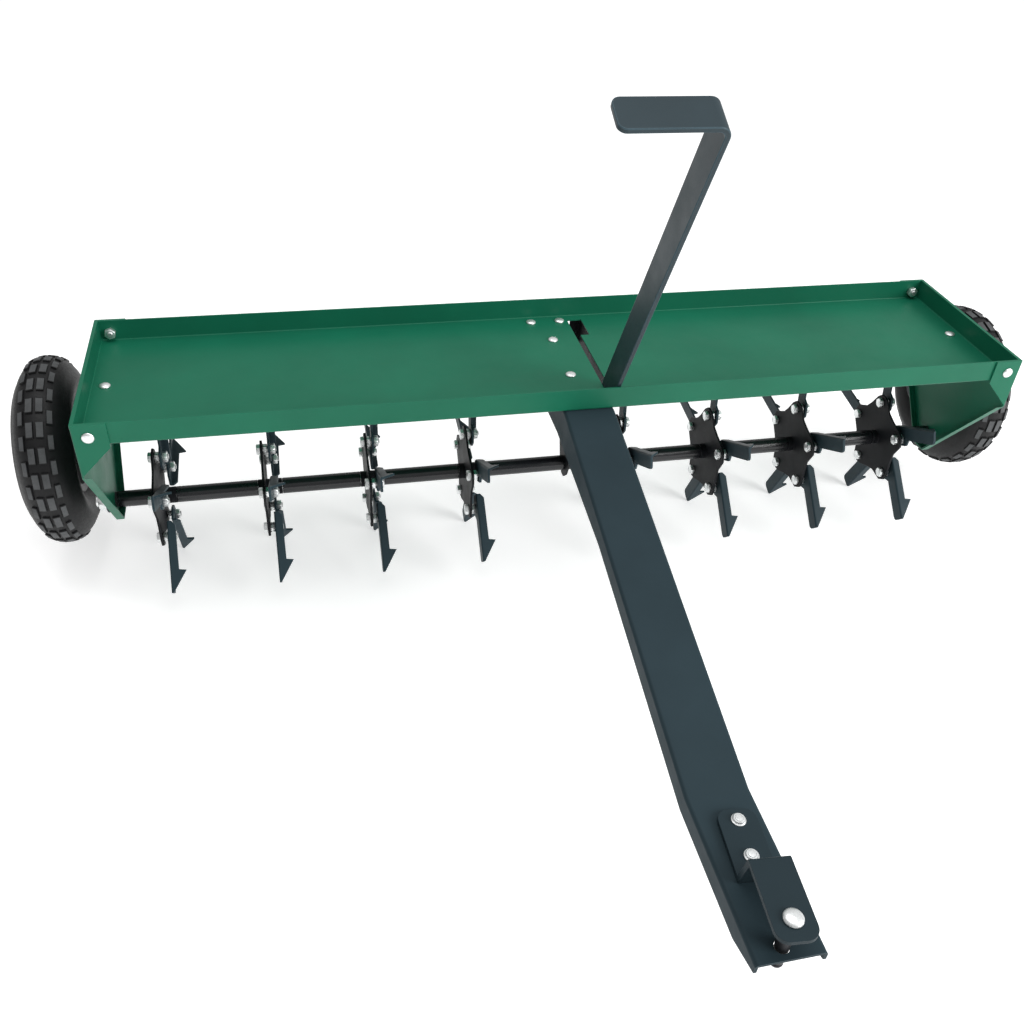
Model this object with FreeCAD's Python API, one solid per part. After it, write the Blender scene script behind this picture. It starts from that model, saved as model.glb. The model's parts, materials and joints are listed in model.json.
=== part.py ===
import FreeCAD
import Part
import math
import os

V = FreeCAD.Vector

# ---- driving dimensions, millimetres; X across the machine, Y rearward, Z up ----
SHAFT_Y, SHAFT_Z = 298.0, 128.8      # main shaft axis, the pivot of the lift
SHAFT_R = 8.0
TUBE_R = 11.0                        # spacer tubes and spider hubs
RUN_FIT = 0.06                       # radial clearance of a bore that turns on a shaft

TRAY_L, TRAY_W, TRAY_LIP, SHEET = 1214.0, 254.0, 28.0, 2.0
TRAY_FRONT, TRAY_TOP = 171.0, 328.5
TRAY_REAR = TRAY_FRONT + TRAY_W
FLOOR = TRAY_TOP - TRAY_LIP          # upper face of the tray floor
UNDER = FLOOR - SHEET                # lower face of the tray floor

PANEL_X, PANEL_T = 609.5, 2.5        # outer face and thickness of the end panels
PANEL_CORNER_Z = 256.5               # where the lower diagonals begin
PANEL_TIP_Z, PANEL_TIP_HALF = 104.5, 13.0
FLANGE_W, EDGE_LIP = 39.0, 10.0

BAR_HALF, BAR_T = 33.0, 3.0          # drawbar channel: half width, sheet
BAR_X, BAR_YAW = -0.3, 0.2           # its centre line at the tray, and its slight turn
BAR_KINK_Y, BAR_NOSE_Y = -321.0, -488.0
BAR_NOSE_Z = 176.0                   # top face of the level front part
BAR_REAR_Y = 422.0

STRAP_HALF, STRAP_T = 19.0, 5.0
STRAP_TOP_Z = 218.5
STRAP_Y, STRAP_X, STRAP_TURN = -394.0, 4.6, -4.5   # the strap sits askew on the drawbar
PIN_X, PIN_Y = -1.84, -475.75
PIN_R, PIN_HOLE_R = 6.35, 6.9

HANGER_X, HANGER_T = 13.0, 3.0

LEVER_LEAN = 27.0                    # degrees forward of upright
LEVER_X, LEVER_T, LEVER_W = 34.0, 6.0, 39.0
LEVER_LEN, GRIP_END_X = 652.0, -67.0
SLOT_X0, SLOT_X1, NOTCH_X = 33.0, 41.0, 54.0
SLOT_Y0, SLOT_Y1, NOTCH_Y = 185.0, 410.0, 363.0

WHEEL_X, WHEEL_Y, WHEEL_Z = 678.0, 370.0, 168.0
HUB_X0, HUB_X1 = 646.0, 700.0
TIRE_R, TIRE_HALF, BEAD_R = 127.0, 36.0, 51.0
CRANK_X, CRANK_T, CRANK_R = 612.2, 6.0, 17.0

SPIDER_X = [-552.5 + 139.5 * k for k in range(4)] + [90.0 + 142.5 * k for k in range(4)]
ARMS = 5
BOLT_ANGLE, BOLT_RING = 79.5, 56.5
SPOON_LEN, SPOON_W, SPOON_T = 134.0, 20.0, 3.0
SPOON_X = 10.0                       # spoon sits this far behind the plate's front face


def box(x0, x1, y0, y1, z0, z1):
    return Part.makeBox(x1 - x0, y1 - y0, z1 - z0, V(x0, y0, z0))


def rod(radius, x0, x1, y, z):
    return Part.makeCylinder(radius, x1 - x0, V(x0, y, z), V(1, 0, 0))


def post(radius, x, y, z0, z1):
    return Part.makeCylinder(radius, z1 - z0, V(x, y, z0), V(0, 0, 1))


def along(radius, x, z, y0, y1):
    return Part.makeCylinder(radius, y1 - y0, V(x, y0, z), V(0, 1, 0))


def polygon(points):
    wire = Part.makePolygon([V(*p) for p in points + points[:1]])
    return Part.Face(wire)


def yz_sheet(points, x0, x1):
    """Prism from a polygon drawn in the YZ plane."""
    return polygon([(x0, y, z) for y, z in points]).extrude(V(x1 - x0, 0, 0))


def round_edges(shape, radius, choose):
    edges = [e for e in shape.Edges if choose(e)]
    return shape.makeFillet(radius, edges) if edges else shape


def runs(edge, axis):
    a, b = edge.Vertexes[0].Point, edge.Vertexes[-1].Point
    d = b.sub(a)
    size = max(d.Length, 1e-9)
    return abs(getattr(d, axis)) / size > 0.999


def hexagon(flats, height, direction, at):
    """Hexagonal prism starting at `at` and running along `direction` (x, y or z)."""
    r = flats / math.sqrt(3.0)
    pts = [(r * math.cos(math.radians(60 * k + 30)), r * math.sin(math.radians(60 * k + 30)))
           for k in range(6)]
    if direction == "x":
        face = polygon([(at[0], at[1] + a, at[2] + b) for a, b in pts])
        return face.extrude(V(height, 0, 0))
    if direction == "y":
        face = polygon([(at[0] + a, at[1], at[2] + b) for a, b in pts])
        return face.extrude(V(0, height, 0))
    face = polygon([(at[0] + a, at[1] + b, at[2]) for a, b in pts])
    return face.extrude(V(0, 0, height))


def dome(radius, height, at, up):
    """Low round bolt head; `up` is the outward unit direction."""
    ball_r = (radius * radius + height * height) / (2.0 * height)
    half = math.asin(radius / ball_r) / 2.0
    mid = (ball_r * math.sin(half), 0, height - ball_r + ball_r * math.cos(half))
    crown = Part.Arc(V(radius, 0, 0), V(*mid), V(0, 0, height)).toShape()
    base = Part.makeLine(V(0, 0, 0), V(radius, 0, 0))
    axis = Part.makeLine(V(0, 0, height), V(0, 0, 0))
    face = Part.Face(Part.Wire([base, crown, axis]))
    head = face.revolve(V(0, 0, 0), V(0, 0, 1), 360)
    head.Placement = FreeCAD.Placement(V(*at), FreeCAD.Rotation(V(0, 0, 1), V(*up)))
    return head


# ---------------------------------------------------------------- frame
FLOOR_BOLTS = [(-589.0, 301.5), (589.0, 301.5)]
BAR_BOLTS = [(-21.0, 408.0), (21.0, 408.0)]
HANGER_BOLTS = [(-2.0, 256.0), (-2.0, 353.0)]
CORNER_X, CORNER_Z = 592.0, 311.5
STRAP_BOLTS = [-356.5, -394.0]


def tray():
    half = TRAY_L / 2.0
    pan = box(-half, half, TRAY_FRONT, TRAY_REAR, UNDER, TRAY_TOP)
    pan = round_edges(pan, 3.5, lambda e: abs(e.CenterOfMass.z - UNDER) < 0.01)
    inner = box(-half + SHEET, half - SHEET, TRAY_FRONT + SHEET, TRAY_REAR - SHEET,
                FLOOR, TRAY_TOP + 5.0)
    inner = round_edges(inner, 1.5, lambda e: abs(e.CenterOfMass.z - FLOOR) < 0.01)
    pan = pan.cut(inner)
    slot = box(SLOT_X0, SLOT_X1, SLOT_Y0, SLOT_Y1, UNDER - 1, FLOOR + 1)
    notch = box(SLOT_X1 - 1, NOTCH_X, NOTCH_Y, SLOT_Y1, UNDER - 1, FLOOR + 1)
    pan = pan.cut(slot.fuse(notch).removeSplitter())
    for x, y in FLOOR_BOLTS + BAR_BOLTS + HANGER_BOLTS:
        pan = pan.cut(post(3.3, x, y, UNDER - 1, FLOOR + 1))
    for side in (-1, 1):
        for y0 in (TRAY_FRONT - 1, TRAY_REAR - SHEET - 1):
            pan = pan.cut(along(4.3, side * CORNER_X, CORNER_Z, y0, y0 + SHEET + 2))
    return pan


def end_panel(side):
    """Right-hand panel, then mirrored for the left."""
    front, rear = TRAY_FRONT - PANEL_T, TRAY_REAR + PANEL_T
    mid_f, mid_r = SHAFT_Y - PANEL_TIP_HALF, SHAFT_Y + PANEL_TIP_HALF
    outline = [(front, TRAY_TOP), (rear, TRAY_TOP), (rear, PANEL_CORNER_Z),
               (mid_r, PANEL_TIP_Z), (mid_f, PANEL_TIP_Z), (front, PANEL_CORNER_Z)]
    x0 = PANEL_X - PANEL_T
    plate = yz_sheet(outline, x0, PANEL_X)
    lip = yz_sheet(outline, PANEL_X - EDGE_LIP, PANEL_X)
    inner = [(front - 1, TRAY_TOP + 1), (rear + 1, TRAY_TOP + 1),
             (rear + 1, PANEL_CORNER_Z + 1.2),
             (mid_r - 1.2, PANEL_TIP_Z + 2.6), (mid_f + 1.2, PANEL_TIP_Z + 2.6),
             (front - 1, PANEL_CORNER_Z + 1.2)]
    lip = lip.cut(yz_sheet(inner, PANEL_X - EDGE_LIP - 1, x0))
    lip = lip.common(box(0, PANEL_X, front, rear, 0, PANEL_CORNER_Z))
    body = plate.fuse(lip)
    wing = [(PANEL_X, TRAY_TOP), (PANEL_X - FLANGE_W, TRAY_TOP),
            (PANEL_X - FLANGE_W, TRAY_TOP - 32.5), (PANEL_X, PANEL_CORNER_Z)]
    for y in (front, rear - PANEL_T):
        face = polygon([(x, y, z) for x, z in wing])
        body = body.fuse(face.extrude(V(0, PANEL_T, 0)))
    tab = box(PANEL_X - 36.0, PANEL_X, 281.0, 322.0, UNDER - PANEL_T, UNDER)
    tab = round_edges(tab, 6.0, lambda e: runs(e, "z") and e.CenterOfMass.x < PANEL_X - 30)
    body = body.fuse(tab).removeSplitter()
    body = round_edges(body, 1.8, lambda e: runs(e, "z") and e.Length > 60
                       and abs(e.CenterOfMass.x - PANEL_X) < 0.01)
    body = body.cut(rod(10.2, x0 - 1, PANEL_X + 1, SHAFT_Y, SHAFT_Z))
    body = body.cut(post(3.3, FLOOR_BOLTS[1][0], FLOOR_BOLTS[1][1], UNDER - 5, UNDER + 1))
    for y in (front - 1, rear - PANEL_T - 1):
        body = body.cut(along(4.3, CORNER_X, CORNER_Z, y, y + PANEL_T + 2))
    if side < 0:
        body = body.mirror(V(0, 0, 0), V(1, 0, 0))
    return body


def panel_bushes():
    parts = []
    for side in (-1, 1):
        barrel = rod(10.2, 604.0, PANEL_X, SHAFT_Y, SHAFT_Z)
        flange = rod(14.0, PANEL_X, PANEL_X + 2.0, SHAFT_Y, SHAFT_Z)
        bush = barrel.fuse(flange).cut(rod(SHAFT_R + RUN_FIT, 603.0, 613.0, SHAFT_Y, SHAFT_Z))
        parts.append(bush if side > 0 else bush.mirror(V(0, 0, 0), V(1, 0, 0)))
    return parts


def bar_lines():
    """Upper and lower outlines of the drawbar flange in YZ, rear to front."""
    top = [(BAR_REAR_Y, UNDER), (TRAY_FRONT - 2.0, UNDER), (BAR_KINK_Y, BAR_NOSE_Z),
           (BAR_NOSE_Y, BAR_NOSE_Z)]
    low = [(BAR_REAR_Y - 20.0, UNDER - 44.0), (192.0, UNDER - 44.0), (TRAY_FRONT, UNDER - 47.0),
           (-9.0, 229.0), (BAR_KINK_Y + 3.0, BAR_NOSE_Z - 24.5),
           (BAR_NOSE_Y + 38.0, BAR_NOSE_Z - 24.5), (BAR_NOSE_Y, BAR_NOSE_Z - 11.0)]
    return top, low


def drawbar():
    top, low = bar_lines()
    outer = yz_sheet(top + low[::-1], -BAR_HALF, BAR_HALF)
    outer = round_edges(outer, 4.0, lambda e: abs(abs(e.CenterOfMass.x) - BAR_HALF) < 0.01
                        and e.Length > 150 and on_top(e, top))
    drop = [(y, z - BAR_T) for y, z in top]
    drop[0] = (BAR_REAR_Y + 5.0, UNDER - BAR_T)
    drop[-1] = (BAR_NOSE_Y - 5.0, BAR_NOSE_Z - BAR_T)
    inner = yz_sheet(drop + [(BAR_NOSE_Y - 5.0, 100.0), (BAR_REAR_Y + 5.0, 100.0)],
                     -BAR_HALF + BAR_T, BAR_HALF - BAR_T)
    body = outer.cut(inner)
    body.rotate(V(0, SHAFT_Y, 0), V(0, 0, 1), BAR_YAW)
    body.translate(V(BAR_X, 0, 0))
    for x, y in BAR_BOLTS + HANGER_BOLTS:
        body = body.cut(post(3.3, x, y, UNDER - 10, UNDER + 1))
    for x, y in (strap_place(0, y) for y in STRAP_BOLTS):
        body = body.cut(post(4.3, x, y, BAR_NOSE_Z - 10, BAR_NOSE_Z + 1))
    return body.cut(post(PIN_HOLE_R, PIN_X, PIN_Y, BAR_NOSE_Z - 10, BAR_NOSE_Z + 1))


def strap_place(x, y):
    """Plan position of a point drawn on the straight strap."""
    a = math.radians(STRAP_TURN)
    dx, dy = x, y - STRAP_Y
    return (STRAP_X + dx * math.cos(a) - dy * math.sin(a),
            STRAP_Y + dx * math.sin(a) + dy * math.cos(a))


def on_top(edge, top):
    """True when an edge lies on the drawbar's upper outline."""
    m = edge.CenterOfMass
    for (y0, z0), (y1, z1) in zip(top[:-1], top[1:]):
        if min(y0, y1) - 0.1 <= m.y <= max(y0, y1) + 0.1:
            level = z0 + (z1 - z0) * (m.y - y0) / (y1 - y0)
            if abs(level - m.z) < 0.05:
                return True
    return False


def center_hanger():
    flange_top = UNDER - BAR_T
    profile = [(207.0, flange_top), (373.0, flange_top), (331.0, 165.0), (314.0, 118.0),
               (303.0, 107.5), (293.0, 107.5), (282.0, 118.0), (269.0, 152.0)]
    web = yz_sheet(profile, HANGER_X, HANGER_X + HANGER_T)
    flange = box(-17.0, HANGER_X + HANGER_T, 207.0, 373.0, flange_top - HANGER_T, flange_top)
    body = web.fuse(flange).removeSplitter()
    body = round_edges(body, 3.0, lambda e: runs(e, "y") and e.Length > 100
                       and abs(e.CenterOfMass.x - HANGER_X - HANGER_T) < 0.01
                       and abs(e.CenterOfMass.z - flange_top) < 0.01)
    body = body.cut(rod(SHAFT_R + RUN_FIT, HANGER_X - 1, HANGER_X + 5, SHAFT_Y, SHAFT_Z))
    for x, y in HANGER_BOLTS:
        body = body.cut(post(3.3, x, y, flange_top - 5, flange_top + 1))
    return body


def lever_guide():
    """Folded guard under the lever slot: top flange on the tray floor, side wall, rear wall."""
    x0, x1, y0, y1, low = 56.0, 58.0, 240.0, 422.0, 258.0
    side = box(x0, x1, y0, y1, low, UNDER)
    flange = box(x0, 74.0, y0 + 6.0, y1 - 6.0, UNDER - 2.0, UNDER)
    rear = box(41.0, x1, y1 - 2.0, y1, low, UNDER)
    body = side.fuse(flange).fuse(rear).removeSplitter()
    body = round_edges(body, 1.5, lambda e: runs(e, "z") and abs(e.CenterOfMass.x - x1) < 0.01
                       and abs(e.CenterOfMass.y - y1) < 0.01)
    return round_edges(body, 12.0, lambda e: runs(e, "x") and abs(e.CenterOfMass.z - low) < 0.01
                       and abs(e.CenterOfMass.y - y0) < 0.01)


def hitch_strap():
    """Z-shaped strap: foot on the drawbar, riser, tongue plate over the pin."""
    z0, z1, t = BAR_NOSE_Z, STRAP_TOP_Z, STRAP_T
    foot_y, low_y, top_y, nose_y = -344.0, -411.5, -419.0, -495.0
    outline = [(foot_y, z0), (foot_y, z0 + t), (low_y, z0 + t), (top_y, z1),
               (nose_y, z1), (nose_y, z1 - t), (top_y - t, z1 - t), (low_y - t, z0)]
    body = yz_sheet(outline, -STRAP_HALF, STRAP_HALF)
    body = round_edges(body, 12.0, lambda e: runs(e, "z") and e.Length < t + 0.1
                       and (abs(e.CenterOfMass.y - foot_y) < 0.1
                            or abs(e.CenterOfMass.y - nose_y) < 0.1))
    body = round_edges(body, 3.0, lambda e: runs(e, "x")
                       and abs(e.CenterOfMass.y - top_y) < 0.1
                       and abs(e.CenterOfMass.z - z1) < 0.1)
    body.rotate(V(0, STRAP_Y, 0), V(0, 0, 1), STRAP_TURN)
    body.translate(V(STRAP_X, 0, 0))
    for x, y in (strap_place(0, y) for y in STRAP_BOLTS):
        body = body.cut(post(4.3, x, y, z0 - 1, z0 + t + 1))
    return body.cut(post(PIN_HOLE_R, PIN_X, PIN_Y, z1 - t - 1, z1 + 1))


def carriage_bolt(x, y, top_z, nut_z, radius=3.0, head=7.0):
    """Round head on top_z, nut with its upper face at nut_z."""
    length = 10.5
    body = post(radius, x, y, nut_z - length + 0.5, top_z)
    body = body.fuse(dome(head, 3.4, (x, y, top_z), (0, 0, 1)))
    nut = hexagon(radius * 3.3, radius * 1.7, "z", (x, y, nut_z - radius * 1.7))
    return body.fuse(nut)


def floor_bolts():
    return [carriage_bolt(x, y, FLOOR, UNDER - PANEL_T) for x, y in FLOOR_BOLTS]


def drawbar_bolts():
    return [carriage_bolt(x, y, FLOOR, UNDER - BAR_T) for x, y in BAR_BOLTS]


def hanger_bolts():
    return [carriage_bolt(x, y, FLOOR, UNDER - BAR_T - HANGER_T) for x, y in HANGER_BOLTS]


def corner_bolts():
    """Flange bolts that join the end panels to the tray lips, nuts inside the tray."""
    parts = []
    for side in (-1, 1):
        x = side * CORNER_X
        front, rear = TRAY_FRONT - PANEL_T, TRAY_REAR + PANEL_T
        for outer, inner, sign in ((front, TRAY_FRONT + SHEET, -1), (rear, TRAY_REAR - SHEET, 1)):
            lo, hi = sorted((outer, inner - sign * 9.0))
            bolt = along(4.0, x, CORNER_Z, lo, hi)
            bolt = bolt.fuse(dome(7.0, 3.0, (x, outer, CORNER_Z), (0, sign, 0)))
            nut_y = inner if sign < 0 else inner - 6.8
            parts.append(bolt.fuse(hexagon(13.0, 6.8, "y", (x, nut_y, CORNER_Z))))
    return parts


def strap_bolts():
    parts = []
    top, low = BAR_NOSE_Z + STRAP_T, BAR_NOSE_Z - BAR_T
    for x, y in (strap_place(0, y) for y in STRAP_BOLTS):
        bolt = post(4.0, x, y, low - 11.0, top)
        bolt = bolt.fuse(dome(7.2, 4.0, (x, y, top), (0, 0, 1)))
        parts.append(bolt.fuse(hexagon(13.0, 6.8, "z", (x, y, low - 6.8))))
    return parts


# ---------------------------------------------------------------- lift
def main_shaft():
    body = rod(SHAFT_R, -632.0, 632.0, SHAFT_Y, SHAFT_Z)
    return round_edges(body, 1.0, lambda e: abs(abs(e.CenterOfMass.x) - 632.0) < 0.01
                       and e.Closed)


def spacer_tubes():
    """Loose tubes on the shaft that hold the spiders at their places."""
    gap = 0.5
    spans = [(-603.4, SPIDER_X[0] - 8.0 - gap)]
    for k in range(3):
        spans.append((SPIDER_X[k] + 24.0 + gap, SPIDER_X[k + 1] - 8.0 - gap))
    spans.append((SPIDER_X[3] + 24.0 + gap, HANGER_X - gap))
    spans.append((HANGER_X + HANGER_T + gap, LEVER_X - 5.0))
    spans.append((LEVER_X + LEVER_T + 5.0, SPIDER_X[4] - 8.0 - gap))
    for k in range(4, 7):
        spans.append((SPIDER_X[k] + 24.0 + gap, SPIDER_X[k + 1] - 8.0 - gap))
    spans.append((SPIDER_X[7] + 24.0 + gap, 603.4))
    tubes = []
    for x0, x1 in spans:
        tube = rod(TUBE_R, x0, x1, SHAFT_Y, SHAFT_Z)
        tubes.append(tube.cut(rod(SHAFT_R, x0 - 1, x1 + 1, SHAFT_Y, SHAFT_Z)))
    return tubes


def lift_lever():
    """Flat bar with an eye welded to the shaft, bent over at the top into a grip."""
    x0, x1, half = LEVER_X, LEVER_X + LEVER_T, LEVER_W / 2.0
    inner_r, top = 8.0, LEVER_LEN
    arc_c = (x0 - inner_r, top - LEVER_T - inner_r)
    out_r = inner_r + LEVER_T
    q = math.sqrt(0.5)
    path = [
        Part.makeLine(V(x0, -half, 0), V(x0, -half, arc_c[1])),
        Part.Arc(V(x0, -half, arc_c[1]),
                 V(arc_c[0] + inner_r * q, -half, arc_c[1] + inner_r * q),
                 V(arc_c[0], -half, top - LEVER_T)).toShape(),
        Part.makeLine(V(arc_c[0], -half, top - LEVER_T), V(GRIP_END_X, -half, top - LEVER_T)),
        Part.makeLine(V(GRIP_END_X, -half, top - LEVER_T), V(GRIP_END_X, -half, top)),
        Part.makeLine(V(GRIP_END_X, -half, top), V(arc_c[0], -half, top)),
        Part.Arc(V(arc_c[0], -half, top),
                 V(arc_c[0] + out_r * q, -half, arc_c[1] + out_r * q),
                 V(x1, -half, arc_c[1])).toShape(),
        Part.makeLine(V(x1, -half, arc_c[1]), V(x1, -half, 0)),
        Part.makeLine(V(x1, -half, 0), V(x0, -half, 0)),
    ]
    bar = Part.Face(Part.Wire(path)).extrude(V(0, LEVER_W, 0))
    bar = round_edges(bar, 9.0, lambda e: runs(e, "z") and e.Length < LEVER_T + 0.1
                      and abs(e.CenterOfMass.x - GRIP_END_X) < 0.1)
    bar = bar.fuse(rod(half, x0, x1, 0, 0)).fuse(rod(15.0, x0 - 5.0, x1 + 5.0, 0, 0))
    bar = bar.cut(rod(SHAFT_R, x0 - 10, x1 + 10, 0, 0)).removeSplitter()
    bar.rotate(V(0, 0, 0), V(1, 0, 0), LEVER_LEAN)
    bar.translate(V(0, SHAFT_Y, SHAFT_Z))
    return bar


def crank_arm(side):
    dy, dz = WHEEL_Y - SHAFT_Y, WHEEL_Z - SHAFT_Z
    reach = math.hypot(dy, dz)
    x0, x1 = CRANK_X, CRANK_X + CRANK_T
    arm = box(x0, x1, 0, reach, -CRANK_R, CRANK_R)
    arm = arm.fuse(rod(CRANK_R, x0, x1, 0, 0)).fuse(rod(CRANK_R, x0, x1, reach, 0))
    arm = arm.cut(rod(SHAFT_R, x0 - 1, x1 + 1, 0, 0)).cut(rod(SHAFT_R, x0 - 1, x1 + 1, reach, 0))
    arm = arm.removeSplitter()
    arm.rotate(V(0, 0, 0), V(1, 0, 0), math.degrees(math.atan2(dz, dy)))
    arm.translate(V(0, SHAFT_Y, SHAFT_Z))
    return arm if side > 0 else arm.mirror(V(0, 0, 0), V(1, 0, 0))


def shaft_nuts():
    parts = []
    for side in (-1, 1):
        x0 = CRANK_X + CRANK_T
        nut = hexagon(24.0, 10.0, "x", (x0, SHAFT_Y, SHAFT_Z))
        nut = nut.cut(rod(SHAFT_R, x0 - 1, x0 + 12, SHAFT_Y, SHAFT_Z))
        parts.append(nut if side > 0 else nut.mirror(V(0, 0, 0), V(1, 0, 0)))
    return parts


def wheel_spindle(side):
    """Axle stub with a collar against the crank arm and a retaining nut outside."""
    arm = CRANK_X + CRANK_T
    inner, outer = HUB_X0 - 0.6, HUB_X1 + 0.6
    body = rod(SHAFT_R, CRANK_X, outer + 12.9, WHEEL_Y, WHEEL_Z)
    body = body.fuse(rod(13.0, arm, inner, WHEEL_Y, WHEEL_Z))
    body = body.fuse(rod(14.0, outer, outer + 2.0, WHEEL_Y, WHEEL_Z))
    body = body.fuse(hexagon(24.0, 8.5, "x", (outer + 2.0, WHEEL_Y, WHEEL_Z)))
    return body if side > 0 else body.mirror(V(0, 0, 0), V(1, 0, 0))


# ---------------------------------------------------------------- wheels
def revolve_x(points, arcs, y, z):
    """Turn a closed outline of (x, r) points about X; arcs maps an index to its mid point."""
    pieces = []
    count = len(points)
    for k in range(count):
        a, b = points[k], points[(k + 1) % count]
        if k in arcs:
            m = arcs[k]
            pieces.append(Part.Arc(V(a[0], 0, a[1]), V(m[0], 0, m[1]), V(b[0], 0, b[1])).toShape())
        else:
            pieces.append(Part.makeLine(V(a[0], 0, a[1]), V(b[0], 0, b[1])))
    face = Part.Face(Part.Wire(pieces))
    body = face.revolve(V(0, 0, 0), V(1, 0, 0), 360)
    body.translate(V(0, y, z))
    return body


def tire(side):
    c, h, r = side * WHEEL_X, TIRE_HALF, TIRE_R
    points = [(c - 22.0, BEAD_R), (c - 22.0, 60.5), (c - 24.0, r - 9.5), (c + 24.0, r - 9.5),
              (c + 22.0, 60.5), (c + 22.0, BEAD_R), (c + 15.0, BEAD_R), (c + 15.0, 60.0),
              (c + 15.0, r - 22.0), (c - 15.0, r - 22.0), (c - 15.0, 60.0), (c - 15.0, BEAD_R)]
    arcs = {1: (c - h, 92.0), 2: (c, r), 3: (c + h, 92.0), 7: (c + 27.0, 88.0),
            9: (c - 27.0, 88.0), 8: (c, r - 14.0)}
    return revolve_x(points, arcs, WHEEL_Y, WHEEL_Z)


def rim(side):
    c = side * WHEEL_X
    points = [(c - 25.0, 58.0), (c - 25.0, 60.0), (c - 22.0, 60.0), (c - 22.0, BEAD_R),
              (c + 22.0, BEAD_R), (c + 22.0, 60.0), (c + 25.0, 60.0), (c + 25.0, 58.0),
              (c + 24.5, 47.5), (c + 3.0, 46.0), (c + 3.0, 20.0), (c - 3.0, 20.0),
              (c - 3.0, 46.0), (c - 24.5, 47.5)]
    body = revolve_x(points, {}, WHEEL_Y, WHEEL_Z)
    for k in range(5):
        a = math.radians(72 * k + 18)
        y, z = WHEEL_Y + 33.0 * math.cos(a), WHEEL_Z + 33.0 * math.sin(a)
        body = body.cut(rod(7.0, c - 5, c + 5, y, z))
    return body


def hub(side):
    x0, x1 = HUB_X0, HUB_X1
    body = rod(20.0, x0 + 8, x1 - 8, WHEEL_Y, WHEEL_Z).fuse(rod(17.5, x0, x1, WHEEL_Y, WHEEL_Z))
    body = body.cut(rod(SHAFT_R + RUN_FIT, x0 - 1, x1 + 1, WHEEL_Y, WHEEL_Z))
    return body if side > 0 else body.mirror(V(0, 0, 0), V(1, 0, 0))


# ---------------------------------------------------------------- spiders
def polar(radius, degrees):
    a = math.radians(degrees)
    return radius * math.cos(a), radius * math.sin(a)


def spider_plate(x):
    """Five-cornered plate with the hub tube welded through it."""
    outline = []
    for k in range(ARMS):
        a = BOLT_ANGLE - 72.0 * k
        outline += [polar(66.5, a + 10.0), polar(69.0, a - 2.0), polar(64.0, a - 11.0),
                    polar(54.5, a - 27.0), polar(53.0, a - 45.0)]
    plate = yz_sheet(outline, 0.0, 3.0)
    plate = round_edges(plate, 4.0, lambda e: runs(e, "x"))
    body = plate.fuse(rod(TUBE_R, -8.0, 24.0, 0, 0))
    body = body.cut(rod(SHAFT_R + RUN_FIT, -9.0, 25.0, 0, 0)).removeSplitter()
    for k in range(ARMS):
        y, z = polar(BOLT_RING, BOLT_ANGLE - 72.0 * k)
        body = body.cut(rod(4.2, -1, 4, y, z))
    body.translate(V(x, SHAFT_Y, SHAFT_Z))
    return body


def spoon():
    """Angle-section coring spoon pointing along +Y, its web on the -Z side."""
    x0, t, w, length = SPOON_X, SPOON_T, SPOON_W, SPOON_LEN
    flat = [(38.0, -w), (length, -w), (length, 0.0), (72.0, 0.0), (66.0, 9.0), (47.0, 9.0),
            (38.0, 0.0)]
    flange = yz_sheet(flat, x0, x0 + t)
    flange = round_edges(flange, 6.0, lambda e: runs(e, "x")
                         and (abs(e.CenterOfMass.y - length) < 0.1
                              and abs(e.CenterOfMass.z) < 0.1))
    flange = round_edges(flange, 5.0, lambda e: runs(e, "x") and abs(e.CenterOfMass.z - 9.0) < 0.1)
    side = [(x0, 38.0), (x0 + 6.0, 38.0), (x0 + 11.0, 44.0), (x0 + 11.5, 103.5),
            (x0 + 21.0, 105.0), (x0 + t, length), (x0, length)]
    web = polygon([(x, y, -w) for x, y in side]).extrude(V(0, 0, t))
    body = flange.fuse(web).removeSplitter()
    body = round_edges(body, 2.5, lambda e: runs(e, "y") and e.Length > 60
                       and abs(e.CenterOfMass.z + w) < 0.1 and abs(e.CenterOfMass.x - x0) < 0.1)
    return body.cut(rod(4.2, x0 - 1, x0 + t + 1, BOLT_RING, -1.0))


def turned(shape, k, x):
    """Copy of an arm piece drawn along +Y, at arm k of the spider at x."""
    lean = BOLT_ANGLE - 72.0 * k + math.degrees(math.atan2(1.0, BOLT_RING))
    out = shape.copy()
    out.rotate(V(0, 0, 0), V(1, 0, 0), lean)
    out.translate(V(x, SHAFT_Y, SHAFT_Z))
    return out


def spoons(x):
    one = spoon()
    return [turned(one, k, x) for k in range(ARMS)]


def spoon_bolts(x):
    """Hex bolt, spacer between plate and spoon, nut behind."""
    y, z = BOLT_RING, -1.0
    one = rod(4.0, 0.0, SPOON_X + SPOON_T + 8.0, y, z).fuse(hexagon(13.0, 5.3, "x", (-5.3, y, z)))
    one = one.fuse(rod(8.0, 3.0, SPOON_X, y, z))
    one = one.fuse(hexagon(13.0, 6.5, "x", (SPOON_X + SPOON_T, y, z))).removeSplitter()
    return [turned(one, k, x) for k in range(ARMS)]


# ---------------------------------------------------------------- hitch pin
def hitch_pin():
    body = post(PIN_R, PIN_X, PIN_Y, 142.0, STRAP_TOP_Z + 0.4)
    body = round_edges(body, 2.0, lambda e: e.Closed and abs(e.CenterOfMass.z - 142.0) < 0.01)
    return body.fuse(dome(9.0, 4.6, (PIN_X, PIN_Y, STRAP_TOP_Z + 0.4), (0, 0, 1)))


def save(name, shapes):
    shapes = shapes if isinstance(shapes, list) else [shapes]
    shape = shapes[0] if len(shapes) == 1 else Part.makeCompound(shapes)
    shape.exportStep("parts/" + name + ".step")
    b = shape.BoundBox
    print(name, len(shape.Solids), shape.isValid(),
          [round(v, 1) for v in (b.XMin, b.XMax, b.YMin, b.YMax, b.ZMin, b.ZMax)])


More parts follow.
